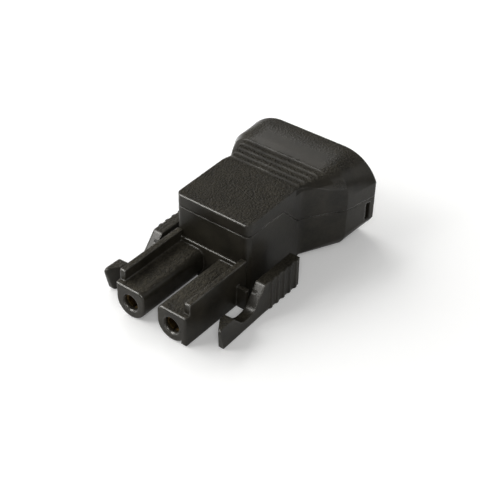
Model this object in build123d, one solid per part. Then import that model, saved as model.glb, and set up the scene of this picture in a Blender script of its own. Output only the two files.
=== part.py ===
from build123d import *
import math
import os

# Two-pole in-line socket with side latches. Millimetres, +Z up.
# X runs across the part, -Y is the mating end with the two sleeves, +Y is the cable end.
# While modelling, Y = 0 is the front face of the housing and Z = 0 is its flat underside.

# Housing
box_top_front = 17.1
box_top_rear = 17.45
dome_start = 14.0
flare_start = 16.8
flare_end = 24.8
shoulder_width = 28.2
shoulder_height = 17.9
rear_width = 31.5
rear_end = 32.8
rear_height = 18.05
wall = 1.2
front_corner_radius = 1.2
flare_inner_radius = 3.0
flare_margin = 0.3
rim_radius = 0.6
rim_steps = 3
top_edge_radius = 0.3

# Rounded corners of the rear body: how wide and how high each one is at three places along Y
flare_dome = 1.4
flare_low = 2.0
shoulder_dome = 5.2
shoulder_low = 3.7
rear_dome_width = 8.1
rear_dome_height = 5.35
rear_low_width = 7.0
rear_low_height = 4.3
least_corner = 0.2

# Parting line between the two shells
parting_front = 14.4
parting_rear = 9.4
parting_step_start = 11.0
parting_step_end = 16.0
seam = 0.08

# Grip grooves across the top
groove_count = 5
groove_first = 15.75
groove_pitch = 1.56
groove_radius = 0.6
groove_depth = 0.3

# Snap tongues and their windows near the rear edge
snap_window_height = 4.0
snap_window_bottom = 4.6
snap_window_length = 1.2
snap_window_setback = 1.5
snap_clearance = 0.12
snap_tongue_thickness = 1.1
snap_tongue_side = 1.3

# Cable entry and strain relief
cable_entry_diameter = 9.0
cable_entry_round = 0.8
clamp_y = 26.2
clamp_length = 5.0
clamp_thickness = 2.4
clamp_post_spacing = 17.6
clamp_post_diameter = 5.4
clamp_post_height = 7.4
clamp_end_radius = 1.6
clamp_screw_diameter = 2.5
clamp_screw_length = 6.5
clamp_hole_extra = 0.5
clamp_arch_thickness = 1.6
clamp_head_diameter = 4.8
clamp_head_height = 1.7
saddle_rib_thickness = 0.8
saddle_rib_count = 3
saddle_rib_pitch = 1.6
saddle_clearance = 0.3

# Sleeves of the contact carrier
contact_pitch = 10.0
axis_height = 3.5
sleeve_radius = 3.4
sleeve_length = 17.8
sleeve_corner_radius = 1.4
sleeve_edge = 0.4
coding_rib_thickness = 1.2
coding_rib_height = 2.3
coding_rib_setback = 1.3
coding_rib_round = 0.4
key_width = 1.25
key_gap_to_floor = 0.25
entry_diameter = 3.3
entry_lip = 0.9
entry_chamfer = 0.3

# Carrier flange, plug part and ears
flange_thickness = 0.5
flange_top = 7.9
flange_corner_radius = 0.8
flange_edge = 0.2
plug_height = 6.9
plug_length = 12.4
plug_clearance = 0.1
plug_side_wall = 0.5
plug_lug_height = 0.5
plug_lug_width = 6.0
plug_lug_length = 1.4
driver_hole_diameter = 3.4
ear_reach = 2.5
ear_length = 3.0
ear_bottom = 0.3
ear_height = 4.7
ear_round = 0.3
ear_plate = 0.8
ear_foot = 0.8

# Latch arms
latch_gap = 0.6
latch_thickness = 2.2
latch_bottom = 0.2
latch_height = 6.6
latch_rear = 10.0
latch_front = 14.0
latch_splay = 0.4
stem_height = 2.0
hook_height = 5.1
sweep_top = -1.05
sweep_foot = -4.8
hook_foot = -7.9
hook_back = -10.9
hook_tip = -15.2
hook_lead_in = 2.9
hook_tip_flat = 0.3
sweep_top_radius = 0.6
sweep_radius = 2.4
hook_foot_radius = 2.6
hook_top_radius = 0.7
latch_corner_radius = 0.4
grip_rib_count = 5
grip_rib_first = 0.9
grip_rib_pitch = 1.93
grip_rib_radius = 0.8
grip_rib_proud = 0.25

# Latch pivots
pivot_inset = 0.5
pivot_y = -1.4
pivot_radius = 0.85
pivot_clearance = 0.1
pivot_neck = 0.8
pivot_top_gap = 0.2

# Brass contacts and terminal screws
contact_diameter = 3.7
contact_clearance = 0.05
contact_edge = 0.2
contact_bore = 2.6
contact_bore_depth = 12.5
contact_slot = 0.5
contact_slot_length = 9.0
contact_tail = 0.4
wire_hole_diameter = 2.6
wire_hole_depth = 7.5
terminal_from_tail = 3.6
terminal_screw_diameter = 2.0
terminal_head_diameter = 3.2
terminal_head_height = 1.3
terminal_head_gap = 0.5
screw_clearance = 0.05
slot_width = 0.6
slot_depth = 0.6

# Sizes that follow from the ones above
rear_half = rear_width / 2
rear_taper = (rear_half - shoulder_width / 2) / (rear_end - flare_end)
flange_half = contact_pitch / 2 + sleeve_radius
plug_half = contact_pitch / 2 + contact_diameter / 2 + contact_clearance + plug_side_wall
box_half = plug_half + plug_clearance + wall
plug_bottom = wall + plug_clearance
ear_outer = flange_half + ear_reach
latch_inner = ear_outer + latch_gap
pivot_x = latch_inner + pivot_inset
cable_z = parting_rear
total_middle = (rear_end - sleeve_length) / 2
side = {"left": -1, "right": 1}

front_view = Plane(origin=(0, 0, 0), x_dir=(1, 0, 0), z_dir=(0, -1, 0))
side_view = Plane(origin=(0, 0, 0), x_dir=(0, 1, 0), z_dir=(1, 0, 0))


def outline(corners):
    """A closed face through (x, y, radius) corners, each rounded by its own radius."""
    face = make_face(Polyline(*[(x, y) for x, y, radius in corners], close=True))
    for x, y, radius in corners:
        if radius > 0:
            corner = face.vertices().sort_by_distance((x, y, 0))[0]
            face = fillet(corner, radius)
    return face


def bar(diameter, start, end):
    """A round bar along Y between two places on the Y axis."""
    length = end - start
    return Pos(0, (start + end) / 2, 0) * Rot(90, 0, 0) * Cylinder(diameter / 2, length)


def block(x0, x1, y0, y1, z0, z1):
    """A box between two opposite corners."""
    centre = ((x0 + x1) / 2, (y0 + y1) / 2, (z0 + z1) / 2)
    return Pos(*centre) * Box(x1 - x0, y1 - y0, z1 - z0)


def mirrored(shape, name):
    """The right-hand shape for the right side and its mirror image for the left."""
    return shape if side[name] > 0 else mirror(shape, about=Plane.YZ)


def half_at(y):
    """Half the outside width of the rear body at a place along Y."""
    return rear_half - (rear_end - y) * rear_taper


def corner_arc(half, level, size, fall):
    """Three points of an arc from a level edge, where it is smooth, to an upright side."""
    width, height = size
    radius = (width**2 + height**2) / (2 * height)
    turn = math.atan2(width, radius - height) / 2
    start = half - width
    middle = (start + radius * math.sin(turn), level - fall * radius * (1 - math.cos(turn)))
    return [(start, level), middle, (half, level - fall * height)]


def rear_section(y, half, top, dome, low, inset):
    """Section of the rear body: domed upper corners, upright sides, round lower corners."""
    dome = [max(length - inset, least_corner) for length in dome]
    low = [max(length - inset, least_corner) for length in low]
    right = corner_arc(half - inset, top - inset, dome, 1)
    right += corner_arc(half - inset, inset, low, -1)[::-1]
    left = [(-x, z) for x, z in right]
    edges = [
        Line(left[0], right[0]),
        ThreePointArc(right[0], right[1], right[2]),
        Line(right[2], right[3]),
        ThreePointArc(right[3], right[4], right[5]),
        Line(right[5], left[5]),
        ThreePointArc(left[5], left[4], left[3]),
        Line(left[3], left[2]),
        ThreePointArc(left[2], left[1], left[0]),
    ]
    plane = Plane(origin=(0, y, 0), x_dir=(1, 0, 0), z_dir=(0, -1, 0))
    return plane * make_face(edges)


def rear_body(inset, rounded):
    """The domed rear body, lofted from where its corners start to round to the rear rim."""
    start_half = box_half + flare_margin
    edge = (flare_margin, flare_margin)
    flare_upper = (flare_dome, flare_dome)
    flare_lower = (flare_low, flare_low)
    shoulder_upper = (shoulder_dome, shoulder_dome)
    shoulder_lower = (shoulder_low, shoulder_low)
    rear_upper = (rear_dome_width, rear_dome_height)
    rear_lower = (rear_low_width, rear_low_height)
    sections = [
        rear_section(dome_start, start_half, box_top_rear, edge, edge, inset),
        rear_section(flare_start, start_half, box_top_rear, flare_upper, flare_lower, inset),
        rear_section(
            flare_end, shoulder_width / 2, shoulder_height, shoulder_upper, shoulder_lower, inset
        ),
    ]
    rim = [(rear_end - inset, inset)]
    if rounded:
        angles = [math.radians(90 * step / rim_steps) for step in range(rim_steps + 1)]
        rim = [
            (rear_end - rim_radius * (1 - math.sin(angle)), rim_radius * (1 - math.cos(angle)))
            for angle in angles
        ]
    for y, set_in in rim:
        sections.append(rear_section(y, half_at(y), rear_height, rear_upper, rear_lower, set_in))
    return loft(sections, ruled=True)


def casing(inset, rounded):
    """The housing's outer form, or the same form set in all round by one wall."""
    corner = front_corner_radius if rounded else 0
    top_edge = top_edge_radius if rounded else 0
    slope = (shoulder_width / 2 - box_half) / (flare_end - flare_start)
    wide = rear_half + 2 * wall
    wide_y = flare_start + (wide - box_half) / slope
    plan = outline([
        (-box_half, 0, corner),
        (box_half, 0, corner),
        (box_half, flare_start, flare_inner_radius),
        (wide, wide_y, 0),
        (wide, wide_y + rear_end, 0),
        (-wide, wide_y + rear_end, 0),
        (-wide, wide_y, 0),
        (-box_half, flare_start, flare_inner_radius),
    ])
    if inset > 0:
        plan = offset(plan, -inset, kind=Kind.INTERSECTION)
    upright = extrude(plan, amount=rear_height)

    profile = outline([
        (inset, inset, 0),
        (dome_start, inset, 0),
        (dome_start, box_top_rear - inset, 0),
        (inset, box_top_front - inset, top_edge),
    ])
    box_part = extrude(side_view * profile, amount=box_half, both=True)
    return upright & (box_part + rear_body(inset, rounded))


def above_parting(shift):
    """Everything above the parting line, which steps down from the front to the rear."""
    reach = rear_end + wall
    face = outline([
        (-wall, parting_front + shift, 0),
        (parting_step_start, parting_front + shift, 0),
        (parting_step_end, parting_rear + shift, 0),
        (reach, parting_rear + shift, 0),
        (reach, rear_height + wall, 0),
        (-wall, rear_height + wall, 0),
    ])
    return extrude(side_view * face, amount=rear_width, both=True)


def grip_grooves():
    """Round-bottomed grooves across the ramp between the box top and the rear top."""
    slope = (shoulder_height - box_top_rear) / (flare_end - flare_start)
    cutters = Part()
    for index in range(groove_count):
        y = groove_first + index * groove_pitch
        top = box_top_rear + slope * max(0, y - flare_start)
        z = top + groove_radius - groove_depth
        cutters += Pos(0, y, z) * Rot(0, 90, 0) * Cylinder(groove_radius, rear_width)
    return cutters


def hollow_housing():
    """The whole housing as one hollow body, before it is parted into two shells."""
    outer = casing(0, True) - grip_grooves()
    body = outer - casing(wall, False)

    entry = Pos(0, 0, cable_z) * bar(cable_entry_diameter, rear_end - 2 * wall, rear_end + wall)
    body = body - entry
    mouth = body.edges().filter_by(GeomType.CIRCLE).group_by(Axis.Y)[-1]
    mouth = mouth.filter_by(lambda edge: abs(edge.radius - cable_entry_diameter / 2) < 0.01)
    body = fillet(mouth, cable_entry_round)
    return body


def window_range():
    """Front and rear ends of the snap windows along Y."""
    rear = rear_end - snap_window_setback
    return rear - snap_window_length, rear


def upper_shell(body):
    """Upper shell: the lid with the grip grooves and two snap tongues on its sides."""
    shell = body & above_parting(seam)
    start, end = window_range()
    tongue_start = start - snap_tongue_side
    tongue_half = half_at(tongue_start) - wall - snap_clearance
    tongue_bottom = snap_window_bottom - snap_tongue_side
    lug_top = snap_window_bottom + snap_window_height - snap_clearance
    for name in side:
        tongue = block(
            tongue_half - snap_tongue_thickness, tongue_half, tongue_start, end,
            tongue_bottom, parting_rear + wall,
        )
        tongue = tongue & casing(wall + snap_clearance, False)
        lug = block(
            tongue_half - snap_tongue_thickness, tongue_half + wall, start + snap_clearance,
            end - snap_clearance, snap_window_bottom + snap_clearance, lug_top,
        )
        root = block(
            tongue_half - snap_tongue_thickness, tongue_half + wall, tongue_start, end,
            parting_rear + seam, parting_rear + 2 * wall,
        )
        root = root & casing(wall / 2, False)
        shell += mirrored(tongue + lug + root, name)
    return shell


def lower_shell(body):
    """Lower shell: floor, front wall with the carrier's opening, clamp posts and saddle."""
    shell = body - above_parting(0)
    opening_half = plug_half + plug_clearance
    opening_top = plug_height + plug_clearance
    shell -= block(-opening_half, opening_half, -wall, 2 * wall, wall, opening_top)

    start, end = window_range()
    for name in side:
        window = block(
            half_at(start) - 2 * wall, rear_half + wall, start, end,
            snap_window_bottom, snap_window_bottom + snap_window_height,
        )
        shell -= mirrored(window, name)

    cable = Pos(0, 0, cable_z) * bar(cable_entry_diameter, 0, rear_end)
    rib_half = clamp_post_spacing / 2
    rib_top = clamp_post_height - saddle_clearance
    for index in range(saddle_rib_count):
        y = clamp_y + (index - (saddle_rib_count - 1) / 2) * saddle_rib_pitch
        thick = saddle_rib_thickness / 2
        rib = block(-rib_half, rib_half, y - thick, y + thick, wall / 2, rib_top)
        shell += rib - cable

    post_height = clamp_post_height - wall
    hole_radius = clamp_screw_diameter / 2 + screw_clearance
    hole_depth = clamp_screw_length - clamp_thickness + clamp_hole_extra
    for name in side:
        x = side[name] * clamp_post_spacing / 2
        post = Pos(x, clamp_y, wall + post_height / 2) * Cylinder(clamp_post_diameter / 2, post_height)
        hole = Pos(x, clamp_y, clamp_post_height - hole_depth / 2) * Cylinder(hole_radius, hole_depth)
        shell = shell + post - hole
    return shell


def cable_clamp():
    """Strain relief bar, arched over the cable and screwed down on the two posts."""
    half = (clamp_post_spacing + clamp_post_diameter) / 2
    bottom = clamp_post_height
    bar_body = block(
        -half, half, clamp_y - clamp_length / 2, clamp_y + clamp_length / 2,
        bottom, bottom + clamp_thickness,
    )
    arch_diameter = cable_entry_diameter + 2 * clamp_arch_thickness
    arch = Pos(0, 0, cable_z) * bar(
        arch_diameter, clamp_y - clamp_length / 2, clamp_y + clamp_length / 2
    )
    body = bar_body + (arch & block(-half, half, 0, rear_end, bottom, rear_height))
    body -= Pos(0, 0, cable_z) * bar(cable_entry_diameter, 0, rear_end)
    for name in side:
        x = side[name] * clamp_post_spacing / 2
        radius = clamp_screw_diameter / 2 + 2 * screw_clearance
        body -= Pos(x, clamp_y, bottom) * Cylinder(radius, 4 * clamp_thickness)
    ends = body.edges().filter_by(Axis.Z).group_by(Axis.X)
    body = fillet(ends[0] + ends[-1], clamp_end_radius)
    return body


def slotted_screw(diameter, length, head_diameter, head_height):
    """A slotted cheese-head screw standing on Z, its head's underside at Z = 0."""
    shank = Pos(0, 0, -length / 2) * Cylinder(diameter / 2, length)
    head = Pos(0, 0, head_height / 2) * Cylinder(head_diameter / 2, head_height)
    head = fillet(head.edges().group_by(Axis.Z)[-1], head_height / 5)
    tip = shank.edges().group_by(Axis.Z)[0]
    shank = chamfer(tip, diameter / 6)
    slot = Pos(0, 0, head_height - slot_depth / 2) * Box(head_diameter + 1, slot_width, slot_depth)
    return shank + head - slot


def clamp_screw(name):
    """One of the two screws that pull the clamp bar down on the cable."""
    screw = slotted_screw(clamp_screw_diameter, clamp_screw_length, clamp_head_diameter, clamp_head_height)
    x = side[name] * clamp_post_spacing / 2
    return Pos(x, clamp_y, clamp_post_height + clamp_thickness) * screw


def sleeve_section(name):
    """Section of one sleeve: round below, square above, with the coding rib on top."""
    r = sleeve_radius
    upper = outline([
        (-r, 0, 0),
        (r, 0, 0),
        (r, r, 0),
        (-r, r, sleeve_corner_radius),
    ])
    section = Circle(r) + upper
    if name == "right":
        key_height = axis_height - key_gap_to_floor
        section += Pos(r - key_width / 2, -key_height / 2) * Rectangle(key_width, key_height)
    return section


def contact_carrier():
    """Contact carrier: flange, two sleeves with coding ribs, plug part, ears and pivots."""
    flange = outline([
        (-flange_half, axis_height - sleeve_radius, flange_corner_radius),
        (flange_half, axis_height - sleeve_radius, 0),
        (flange_half, flange_top, flange_corner_radius),
        (-flange_half, flange_top, flange_corner_radius),
    ])
    body = extrude(front_view * flange, amount=flange_thickness)
    body = fillet(body.faces().sort_by(Axis.Y)[0].edges().sort_by(Axis.Z)[-1], flange_edge)
    body += block(-plug_half, plug_half, -flange_thickness, plug_length, plug_bottom, plug_height)

    lug_start = wall + plug_clearance
    lug = outline([
        (lug_start, plug_height - plug_lug_height, 0),
        (lug_start + plug_lug_length, plug_height - plug_lug_height, 0),
        (lug_start + plug_lug_length, plug_height, 0),
        (lug_start, plug_height + plug_lug_height, 0),
    ])
    body += extrude(side_view * lug, amount=plug_lug_width / 2, both=True)

    tail_y = plug_length + contact_tail
    terminal_y = tail_y - terminal_from_tail
    for name in side:
        x = side[name] * contact_pitch / 2
        section = sleeve_section(name)
        if side[name] < 0:
            section = mirror(section, about=Plane.YZ)
        sleeve = extrude(front_view * Pos(x, axis_height) * section, amount=sleeve_length)
        tip = sleeve.faces().sort_by(Axis.Y)[0].edges()
        sleeve = fillet(tip, sleeve_edge)

        rib_inner = contact_pitch / 2 + sleeve_radius - coding_rib_thickness
        rib_bottom = axis_height + sleeve_radius - sleeve_edge
        rib = block(
            rib_inner, rib_inner + coding_rib_thickness, -sleeve_length + coding_rib_setback, 0,
            rib_bottom, axis_height + sleeve_radius + coding_rib_height,
        )
        rib_tip = rib.edges().filter_by(Axis.X).sort_by(Axis.Y)[:2].sort_by(Axis.Z)[-1]
        rib = fillet(rib_tip, coding_rib_round)
        body += sleeve + mirrored(rib, name)

        ear_root = flange_half - flange_edge
        ear = block(
            ear_root, ear_outer, -ear_length, -ear_length + ear_plate,
            ear_bottom, ear_bottom + ear_height,
        )
        ear = fillet(ear.edges().filter_by(Axis.Z).group_by(Axis.X)[-1], ear_round)
        ear += block(
            ear_root, ear_outer, -ear_length + ear_round, 0, ear_bottom, ear_bottom + ear_foot
        )
        neck = block(
            ear_outer - ear_round, pivot_x, pivot_y - pivot_neck / 2, pivot_y + pivot_neck / 2,
            ear_bottom, ear_bottom + ear_foot,
        )
        bead = Pos(pivot_x, pivot_y, ear_bottom + ear_height / 2) * Cylinder(pivot_radius, ear_height)
        body += mirrored(ear + neck + bead, name)

        entry = bar(entry_diameter, -sleeve_length - 1, tail_y)
        cone_depth = entry_chamfer
        cone = Pos(0, -sleeve_length + cone_depth / 2, 0) * Rot(90, 0, 0) * Cone(
            entry_diameter / 2, entry_diameter / 2 + entry_chamfer, cone_depth
        )
        seat = bar(contact_diameter + 2 * contact_clearance, -sleeve_length + entry_lip, tail_y)
        body -= Pos(x, 0, axis_height) * (entry + cone + seat)
        driver = Pos(x, terminal_y, plug_height) * Cylinder(driver_hole_diameter / 2, plug_height)
        body -= driver
    return body


def contact(name):
    """Turned brass contact: a split socket in front, a wire hole and screw hole behind."""
    x = side[name] * contact_pitch / 2
    front = -sleeve_length + entry_lip + contact_clearance
    tail = plug_length + contact_tail
    body = bar(contact_diameter, front, tail)
    ends = body.edges().filter_by(GeomType.CIRCLE)
    body = chamfer(ends, contact_edge)
    body -= bar(contact_bore, front - 1, front + contact_bore_depth)
    body -= block(
        -contact_slot / 2, contact_slot / 2, front - 1, front + contact_slot_length,
        -contact_diameter, contact_diameter,
    )
    body -= bar(wire_hole_diameter, tail - wire_hole_depth, tail + 1)
    screw_radius = terminal_screw_diameter / 2 + screw_clearance
    screw_hole = Pos(0, tail - terminal_from_tail, contact_diameter / 2) * Cylinder(
        screw_radius, contact_diameter
    )
    body -= screw_hole
    return Pos(x, 0, axis_height) * body


def terminal_screw(name):
    """Terminal screw that clamps the wire inside the contact's tail."""
    x = side[name] * contact_pitch / 2
    y = plug_length + contact_tail - terminal_from_tail
    seat = plug_height + terminal_head_gap
    length = seat - axis_height + contact_clearance
    screw = slotted_screw(terminal_screw_diameter, length, terminal_head_diameter, terminal_head_height)
    return Pos(x, y, seat) * screw


def latch(name):
    """Latch arm: ribbed thumb pad behind its pivot, low stem and rising hook in front."""
    outer = latch_inner + latch_thickness
    plan = outline([
        (latch_inner, latch_rear, latch_corner_radius),
        (latch_inner, pivot_y, 0),
        (latch_inner + latch_splay, hook_tip + hook_lead_in, latch_corner_radius),
        (outer + latch_splay - hook_tip_flat, hook_tip, 0),
        (outer + latch_splay, hook_tip, 0),
        (outer, pivot_y, 0),
        (outer, latch_rear, latch_corner_radius),
    ])
    top = latch_bottom + latch_height
    stem = latch_bottom + stem_height
    hook = latch_bottom + hook_height
    profile = outline([
        (latch_rear, latch_bottom, latch_corner_radius),
        (latch_rear, top, latch_corner_radius),
        (sweep_top, top, sweep_top_radius),
        (sweep_foot, stem, sweep_radius),
        (hook_foot, stem, hook_foot_radius),
        (hook_back, hook, hook_top_radius),
        (hook_tip, hook, hook_top_radius),
        (-latch_front, latch_bottom, latch_corner_radius),
    ])
    reach = outer + latch_splay + grip_rib_proud
    arm = extrude(plan, amount=top) & extrude(side_view * profile, amount=2 * reach)
    for index in range(grip_rib_count):
        y = grip_rib_first + index * grip_rib_pitch
        x = outer + grip_rib_proud - grip_rib_radius
        middle = latch_bottom + latch_height / 2
        arm += Pos(x, y, middle) * Cylinder(grip_rib_radius, latch_height)

    socket_top = ear_bottom + ear_height + pivot_top_gap
    socket_height = socket_top - latch_bottom
    radius = pivot_radius + pivot_clearance
    arm -= Pos(pivot_x, pivot_y, latch_bottom + socket_height / 2) * Cylinder(radius, socket_height)
    return mirrored(arm, name)


housing = hollow_housing()
pieces = {
    "upper_shell": upper_shell(housing),
    "lower_shell": lower_shell(housing),
    "contact_carrier": contact_carrier(),
    "cable_clamp": cable_clamp(),
}
for hand in side:
    pieces["latch_" + hand] = latch(hand)
    pieces["contact_" + hand] = contact(hand)
    pieces["terminal_screw_" + hand] = terminal_screw(hand)
    pieces["clamp_screw_" + hand] = clamp_screw(hand)

# The origin of the kept part is under its middle, so every piece shifts along Y by the same amount.
os.makedirs("parts", exist_ok=True)
for node, shape in pieces.items():
    export_step(Pos(0, -total_middle, 0) * shape, "parts/" + node + ".step")
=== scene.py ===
import math

import bpy
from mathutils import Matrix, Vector

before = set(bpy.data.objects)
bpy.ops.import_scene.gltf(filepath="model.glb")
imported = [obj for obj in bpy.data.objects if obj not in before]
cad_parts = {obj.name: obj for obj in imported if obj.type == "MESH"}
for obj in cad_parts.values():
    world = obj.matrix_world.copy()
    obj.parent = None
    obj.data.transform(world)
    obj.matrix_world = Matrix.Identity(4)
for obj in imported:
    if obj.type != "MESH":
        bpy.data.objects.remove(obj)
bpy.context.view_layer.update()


# The table: a matt white paper sheet that runs out of the picture on every side. The camera sees it as
# nearly pure white, whiter away from the socket, and it keeps the broad soft shadow on the right.
def add_node(tree, kind, settings, inputs):
    """Adds one shader node; each input is a plain value or another node's output."""
    node = tree.nodes.new(kind)
    for name, value in settings.items():
        setattr(node, name, value)
    for socket, value in inputs.items():
        if isinstance(value, bpy.types.NodeSocket):
            tree.links.new(value, node.inputs[socket])
        else:
            node.inputs[socket].default_value = value
    return node


def ramp(tree, value, low, high, out_low, out_high):
    """The value, taken from the range low to high into the range out_low to out_high."""
    node = add_node(tree, "ShaderNodeMapRange", {}, {
        "Value": value, "From Min": low, "From Max": high, "To Min": out_low, "To Max": out_high,
    })
    return node.outputs["Result"]


def calc(tree, operation, first, second):
    """One sum, product or other step of arithmetic on two values."""
    return add_node(tree, "ShaderNodeMath", {"operation": operation}, {0: first, 1: second}).outputs[0]


table_half = 1.2
table_white = (0.925, 0.94, 0.965, 1.0)
whiter_from, white_by = 0.050, 0.20
glow_near, glow_far = 0.135, 1.0

table_mesh = bpy.data.meshes.new("table")
table_mesh.from_pydata(
    [(-table_half, -table_half, 0), (table_half, -table_half, 0),
     (table_half, table_half, 0), (-table_half, table_half, 0)],
    [], [(0, 1, 2, 3)],
)
table = bpy.data.objects.new("table", table_mesh)
bpy.context.scene.collection.objects.link(table)

table_paper = bpy.data.materials.new("matt_white_paper")
table_paper.use_nodes = True
tree = table_paper.node_tree
tree.nodes.clear()
place = add_node(tree, "ShaderNodeTexCoord", {}, {}).outputs["Object"]
distance = add_node(tree, "ShaderNodeVectorMath", {"operation": "LENGTH"}, {0: place}).outputs["Value"]
seen_directly = add_node(tree, "ShaderNodeLightPath", {}, {}).outputs["Is Camera Ray"]
glow_there = ramp(tree, distance, whiter_from, white_by, glow_near, glow_far)
glow = calc(tree, "MULTIPLY", seen_directly, glow_there)
paper = add_node(tree, "ShaderNodeBsdfDiffuse", {}, {"Color": table_white})
glowing = add_node(tree, "ShaderNodeEmission", {}, {"Strength": glow})
both = add_node(tree, "ShaderNodeAddShader", {}, {0: paper.outputs[0], 1: glowing.outputs[0]})
add_node(tree, "ShaderNodeOutputMaterial", {}, {"Surface": both.outputs[0]})
table_mesh.materials.append(table_paper)

# The white tent round the table: plain dim light from every side, and pure white where the camera sees
# it. It is plain cloth, so its light has the same slight warmth as the lamps.
tent_light = 0.23
tent_tint = (1.0, 0.982, 0.945, 1.0)
pure_white = (1.0, 1.0, 1.0, 1.0)

tent = bpy.data.worlds.new("white_tent")
bpy.context.scene.world = tent
tent.use_nodes = True
tree = tent.node_tree
tree.nodes.clear()
tent_dim = add_node(tree, "ShaderNodeBackground", {}, {"Color": tent_tint, "Strength": tent_light})
tent_white = add_node(tree, "ShaderNodeBackground", {}, {"Color": pure_white, "Strength": 1.0})
seen_directly = add_node(tree, "ShaderNodeLightPath", {}, {}).outputs["Is Camera Ray"]
tent_cloth = add_node(tree, "ShaderNodeMixShader", {}, {
    0: seen_directly, 1: tent_dim.outputs[0], 2: tent_white.outputs[0],
})
add_node(tree, "ShaderNodeOutputWorld", {}, {"Surface": tent_cloth.outputs[0]})
bpy.context.scene.view_settings.view_transform = "Standard"

# The camera, where a fit of the photo's outline puts it: in front of the sleeves on the right, looking
# down at about 40 degrees, with the frame shifted so that the socket lies where it does in the photo.
camera_azimuth = math.radians(39.1)
camera_elevation = math.radians(39.5)
camera_distance = 0.2223
camera_target = Vector((0.0, -0.0075, 0.0))
nearest_seen = 0.01
film_width_mm = 36
photo_frame = 480
focal_pixels = 1142
aim_x = 211.6
aim_y = 281.2

camera_back = Vector((
    math.sin(camera_azimuth) * math.cos(camera_elevation),
    -math.cos(camera_azimuth) * math.cos(camera_elevation),
    math.sin(camera_elevation),
))
camera_data = bpy.data.cameras.new("camera")
camera_data.sensor_width = film_width_mm
camera_data.lens = focal_pixels / photo_frame * film_width_mm
camera_data.shift_x = (photo_frame / 2 - aim_x) / photo_frame
camera_data.shift_y = (aim_y - photo_frame / 2) / photo_frame
camera_data.clip_start = nearest_seen
camera = bpy.data.objects.new("camera", camera_data)
camera.location = camera_target + camera_distance * camera_back
camera.rotation_euler = camera_back.to_track_quat("Z", "Y").to_euler()
bpy.context.scene.collection.objects.link(camera)
bpy.context.scene.camera = camera


# The lamps: a wide softbox low on the left throws the shadow, a narrow one at the front left draws the
# bright front edges, a weak card on the right and a fill by the camera open the dark sides, and a weak
# one behind on the left has its reflection on the smooth top.
def softbox(name, direction, distance, width, height, power):
    """A rectangular soft lamp that faces the middle of the socket."""
    lamp_data = bpy.data.lights.new(name, "AREA")
    lamp_data.shape = "RECTANGLE"
    lamp_data.size = width
    lamp_data.size_y = height
    lamp_data.energy = power
    lamp_data.color = tent_tint[:3]
    lamp = bpy.data.objects.new(name, lamp_data)
    lamp.location = distance * Vector(direction).normalized()
    lamp.rotation_euler = Vector(direction).to_track_quat("Z", "Y").to_euler()
    bpy.context.scene.collection.objects.link(lamp)


softbox("left_softbox", (-0.79, 0.02, 0.585), distance=0.75, width=1.05, height=0.46, power=5.6)
softbox("front_left_lamp", (-0.487, -0.60, 0.63), distance=0.75, width=0.18, height=0.34, power=1.35)
softbox("right_card", (0.62, 0.60, 0.50), distance=0.75, width=0.60, height=0.40, power=0.50)
softbox("camera_fill", (0.46, -0.60, 0.65), distance=0.90, width=0.30, height=0.30, power=2.1)
softbox("rear_reflection", (-0.487, 0.60, 0.636), distance=0.75, width=0.40, height=0.40, power=0.25)


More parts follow.
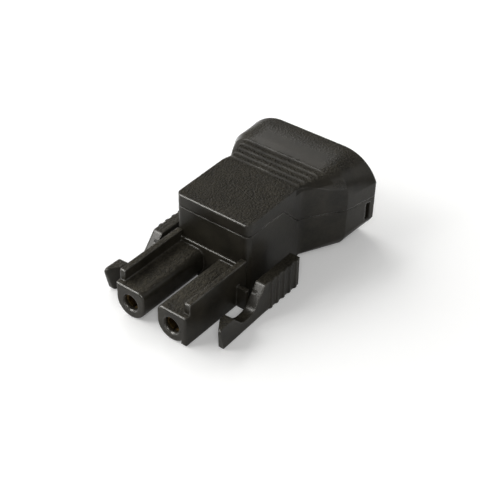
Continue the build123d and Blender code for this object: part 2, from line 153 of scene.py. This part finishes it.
# The two housing shells: injection-moulded black plastic. The tops carry a spark-eroded grain, the bare
# field on the rear top is smooth, the front and sides are satin. They snap together at the parting line.
def moulded_plastic(
    name, shade, satin_rough, grained_rough, grain_depth, grain_length, sheen, edge_shine,
    smooth_field, grip_zone,
):
    """Black moulded plastic: grain where it faces up, satin elsewhere, and rubbed edges paled by a
    painted highlight.
    """
    colour = shade * Vector((0.0205, 0.0184, 0.0138))
    # The pale edge colour: partly rubbed plastic, partly a painted highlight.
    rubbed_and_highlight = Vector((0.040, 0.037, 0.030))
    darkest, lightest = 0.40, 1.90
    edge_round = 0.00050
    grain_size = 0.00042
    flow_size = 0.0055

    material = bpy.data.materials.new(name)
    material.use_nodes = True
    tree = material.node_tree
    shader = tree.nodes["Principled BSDF"]
    shader.inputs["IOR"].default_value = 1.5
    shader.inputs["Specular IOR Level"].default_value = 0.16
    shader.inputs["Coat IOR"].default_value = 1.9
    shader.inputs["Coat Roughness"].default_value = 0.26

    place = add_node(tree, "ShaderNodeTexCoord", {}, {}).outputs["Object"]
    where = add_node(tree, "ShaderNodeSeparateXYZ", {}, {0: place}).outputs
    surface = add_node(tree, "ShaderNodeNewGeometry", {}, {}).outputs
    facing = add_node(tree, "ShaderNodeSeparateXYZ", {}, {0: surface["Normal"]}).outputs

    # Which way the surface faces: up, or on a front edge both forward and up.
    nearly_level, level = 0.78, 0.95
    well_forward, hardly_forward = -0.45, -0.20
    hardly_raised, well_raised = 0.20, 0.45
    upward = ramp(tree, facing["Z"], nearly_level, level, 0.0, 1.0)
    forward = ramp(tree, facing["Y"], well_forward, hardly_forward, 1.0, 0.0)
    tilted_up = ramp(tree, facing["Z"], hardly_raised, well_raised, 0.0, 1.0)
    front_edge = calc(tree, "MULTIPLY", forward, tilted_up)

    # The grip grooves are dull, and their edges hardly shine.
    if grip_zone:
        zone_start, zone_end, zone_bottom = grip_zone
        groove_rough = 0.72
        groove_sheen = 0.3
        groove_edge_shine = 0.12
        along_zone = calc(
            tree, "MULTIPLY", calc(tree, "GREATER_THAN", where["Y"], zone_start),
            calc(tree, "LESS_THAN", where["Y"], zone_end),
        )
        in_zone = calc(tree, "MULTIPLY", along_zone, calc(tree, "GREATER_THAN", where["Z"], zone_bottom))
        less_edge = ramp(tree, in_zone, 0.0, 1.0, 1.0, groove_edge_shine)
        front_edge = calc(tree, "MULTIPLY", front_edge, less_edge)

    # The fine grain of the mould, and the broad uneven tone that the plastic's flow leaves.
    grain_valley, grain_peak = 0.36, 0.64
    stretched = add_node(tree, "ShaderNodeMapping", {}, {
        "Vector": place, "Scale": (1.0, 1 / grain_length, 1.0),
    })
    grain = add_node(tree, "ShaderNodeTexNoise", {}, {
        "Vector": stretched.outputs[0], "Scale": 1 / grain_size, "Detail": 1.0, "Roughness": 0.6,
    }).outputs["Fac"]
    grain = ramp(tree, grain, grain_valley, grain_peak, 0.0, 1.0)
    flow = add_node(tree, "ShaderNodeTexNoise", {}, {
        "Vector": place, "Scale": 1 / flow_size, "Detail": 4.0, "Roughness": 0.6,
    }).outputs["Fac"]

    # The smooth field has a sharp front, soft sides, and runs out into the grain behind.
    grained_share = upward
    if smooth_field:
        field_start, field_end, field_half = smooth_field
        ragged_edge = 0.0007
        front_fade, rear_fade, side_fade = 0.0003, 0.0035, 0.0018
        smooth_behind = 0.15
        smooth_sheen = 0.32
        ragged = ramp(tree, grain, 0.0, 1.0, -ragged_edge, ragged_edge)
        y = calc(tree, "ADD", where["Y"], ragged)
        x = calc(tree, "ADD", calc(tree, "ABSOLUTE", where["X"], 0.0), ragged)
        behind_start = ramp(tree, y, field_start, field_start + front_fade, 0.0, 1.0)
        before_end = ramp(tree, y, field_end, field_end + rear_fade, 1.0, smooth_behind)
        between = ramp(tree, x, field_half, field_half + side_fade, 1.0, 0.0)
        smooth = calc(tree, "MULTIPLY", calc(tree, "MULTIPLY", behind_start, before_end), between)
        grained_share = calc(tree, "MULTIPLY", upward, calc(tree, "SUBTRACT", 1.0, smooth))

    # Edges that hands have rubbed, unevenly; this mask also places the painted edge highlight in the
    # colour.
    hardly_turned, well_turned = 0.985, 0.90
    least_worn = 0.15
    rounded = add_node(tree, "ShaderNodeBevel", {"samples": 6}, {"Radius": edge_round}).outputs["Normal"]
    turn = add_node(tree, "ShaderNodeVectorMath", {"operation": "DOT_PRODUCT"}, {
        0: rounded, 1: surface["True Normal"],
    }).outputs["Value"]
    edge = ramp(tree, turn, hardly_turned, well_turned, 0.0, 1.0)
    worn_and_highlight = calc(tree, "MULTIPLY", edge, ramp(tree, flow, 0.35, 0.65, least_worn, 1.0))
    shiny_edge = calc(tree, "MAXIMUM", worn_and_highlight, front_edge)

    # Colour: darker and lighter with the flow and the grain, and paler on the edges, partly from rubbing
    # and partly a painted highlight.
    flow_share, grain_share, satin_share = 0.5, 0.5, 0.15
    flow_tone = ramp(tree, flow, 0.30, 0.70, 0.0, flow_share)
    grain_shows = ramp(tree, grained_share, 0.0, 1.0, satin_share, 1.0)
    grain_tone = calc(tree, "MULTIPLY", ramp(tree, grain, 0.0, 1.0, 0.0, grain_share), grain_shows)
    tone = add_node(tree, "ShaderNodeValToRGB", {}, {"Fac": calc(tree, "ADD", flow_tone, grain_tone)})
    tone.color_ramp.elements[0].color = tuple(darkest * colour) + (1.0,)
    tone.color_ramp.elements[1].color = tuple(lightest * colour) + (1.0,)
    paint = add_node(tree, "ShaderNodeMix", {"data_type": "RGBA"}, {
        0: worn_and_highlight, 6: tone.outputs["Color"], 7: tuple(rubbed_and_highlight) + (1.0,),
    })
    tree.links.new(paint.outputs[2], shader.inputs["Base Color"])

    # Roughness: satin or grained, a little uneven, and lower on the shiny edges.
    flow_uneven, grain_uneven, edge_polish = 0.05, 0.08, 0.12
    rough = add_node(tree, "ShaderNodeMix", {"data_type": "FLOAT"}, {
        0: grained_share, 2: satin_rough, 3: grained_rough,
    }).outputs[0]
    if grip_zone:
        rough = calc(tree, "MAXIMUM", rough, calc(tree, "MULTIPLY", in_zone, groove_rough))
    rough = calc(tree, "ADD", rough, ramp(tree, flow, 0.30, 0.70, -flow_uneven, flow_uneven))
    grain_rough = ramp(tree, grain, 0.0, 1.0, -grain_uneven, grain_uneven)
    rough = calc(tree, "ADD", rough, calc(tree, "MULTIPLY", grained_share, grain_rough))
    rough = calc(tree, "SUBTRACT", rough, calc(tree, "MULTIPLY", shiny_edge, edge_polish))
    tree.links.new(rough, shader.inputs["Roughness"])

    # The moulding's sheen, off the grain, and stronger on the smooth field and the shiny edges.
    gloss = calc(tree, "MULTIPLY", calc(tree, "SUBTRACT", 1.0, grained_share), sheen)
    if smooth_field:
        gloss = calc(tree, "ADD", gloss, calc(tree, "MULTIPLY", smooth, smooth_sheen - sheen))
    if grip_zone:
        gloss = calc(tree, "MULTIPLY", gloss, ramp(tree, in_zone, 0.0, 1.0, 1.0, groove_sheen))
    gloss = calc(tree, "MAXIMUM", gloss, calc(tree, "MULTIPLY", shiny_edge, edge_shine))
    tree.links.new(gloss, shader.inputs["Coat Weight"])

    # Relief: the grain stands out where the plastic is grained, and hardly at all on satin.
    satin_relief = 0.03
    raised = calc(tree, "MULTIPLY", grained_share, calc(tree, "SUBTRACT", 1.0, front_edge))
    relief = add_node(tree, "ShaderNodeBump", {}, {
        "Height": calc(tree, "MULTIPLY", grain, ramp(tree, raised, 0.0, 1.0, satin_relief, 1.0)),
        "Distance": grain_depth, "Normal": rounded,
    })
    tree.links.new(relief.outputs["Normal"], shader.inputs["Normal"])
    tree.links.new(rounded, shader.inputs["Coat Normal"])
    return material


def dress(node, material):
    """Gives one node of the frame its finished surface."""
    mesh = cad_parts[node].data
    mesh.materials.clear()
    mesh.materials.append(material)


# Where the smooth field starts and ends along Y, and half its width; where the grip grooves start and end
# along Y, and how low they reach.
smooth_top = (0.0149, 0.0200, 0.0080)
grip_grooves = (0.0072, 0.0150, 0.0160)
shell_plastic = moulded_plastic(
    "grained_shell_plastic", shade=1.0, satin_rough=0.34, grained_rough=0.61, grain_depth=0.00020,
    grain_length=1.0, sheen=0.12, edge_shine=1.0, smooth_field=smooth_top, grip_zone=grip_grooves,
)
dress("upper_shell", shell_plastic)
dress("lower_shell", shell_plastic)

# The contact carrier: one black moulding with the flange, the two sleeves and their coding ribs, pushed
# into the opening of the lower shell from the front. The strain relief bar is moulded from the same.
carrier_plastic = moulded_plastic(
    "carrier_plastic", shade=1.28, satin_rough=0.36, grained_rough=0.66, grain_depth=0.00012,
    grain_length=1.7, sheen=0.085, edge_shine=1.0, smooth_field=None, grip_zone=None,
)
dress("contact_carrier", carrier_plastic)
dress("cable_clamp", carrier_plastic)

# The two squeeze latches: tough black mouldings that snap on the round pivots of the carrier's ears.
# Thumbs have rubbed their ribbed pads, whose paler edges partly carry a painted highlight, and the swept
# edge in front of each pad is polished.
latch_plastic = moulded_plastic(
    "latch_plastic", shade=1.0, satin_rough=0.37, grained_rough=0.46, grain_depth=0.00008,
    grain_length=1.0, sheen=0.075, edge_shine=0.55, smooth_field=None, grip_zone=None,
)
dress("latch_left", latch_plastic)
dress("latch_right", latch_plastic)


# The contacts and the screws: turned brass sockets, dulled by age, and zinc-plated steel screws. Both
# keep the fine rings that the lathe left, and the brass is darker where it has tarnished.
def turned_metal(name, bright, tarnish, rough, ring_pitch, ring_axis):
    """Turned metal with fine lathe rings along its own axis and uneven tarnish."""
    pitch_at_scale_one = 0.3
    ring_height = 0.000004
    ring_strength = 0.5
    stain_scale = 700
    tarnished_below, bright_above = 0.32, 0.75
    rougher, smoother = 0.12, 0.05

    material = bpy.data.materials.new(name)
    material.use_nodes = True
    tree = material.node_tree
    shader = tree.nodes["Principled BSDF"]
    shader.inputs["Metallic"].default_value = 1.0
    place = add_node(tree, "ShaderNodeTexCoord", {}, {}).outputs["Object"]
    rings = add_node(tree, "ShaderNodeTexWave", {"wave_type": "BANDS", "bands_direction": ring_axis}, {
        "Vector": place, "Scale": pitch_at_scale_one / ring_pitch, "Distortion": 0.6, "Detail": 2.0,
    }).outputs["Fac"]
    stain = add_node(tree, "ShaderNodeTexNoise", {}, {
        "Vector": place, "Scale": stain_scale, "Detail": 4.0,
    }).outputs["Fac"]
    tone = add_node(tree, "ShaderNodeValToRGB", {}, {"Fac": stain})
    tone.color_ramp.elements[0].position = tarnished_below
    tone.color_ramp.elements[0].color = tarnish + (1.0,)
    tone.color_ramp.elements[1].position = bright_above
    tone.color_ramp.elements[1].color = bright + (1.0,)
    tree.links.new(tone.outputs["Color"], shader.inputs["Base Color"])
    dull = ramp(tree, stain, 0.25, 0.75, rough + rougher, rough - smoother)
    tree.links.new(dull, shader.inputs["Roughness"])
    relief = add_node(tree, "ShaderNodeBump", {}, {
        "Height": rings, "Distance": ring_height, "Strength": ring_strength,
    })
    tree.links.new(relief.outputs["Normal"], shader.inputs["Normal"])
    return material


brass = turned_metal(
    "turned_brass", bright=(0.30, 0.20, 0.085), tarnish=(0.07, 0.045, 0.02), rough=0.42,
    ring_pitch=0.00008, ring_axis="Y",
)
zinc = turned_metal(
    "zinc_plated_steel", bright=(0.62, 0.62, 0.60), tarnish=(0.42, 0.42, 0.41), rough=0.30,
    ring_pitch=0.00010, ring_axis="Z",
)
for hand in ("left", "right"):
    dress("contact_" + hand, brass)
    dress("terminal_screw_" + hand, zinc)
    dress("clamp_screw_" + hand, zinc)
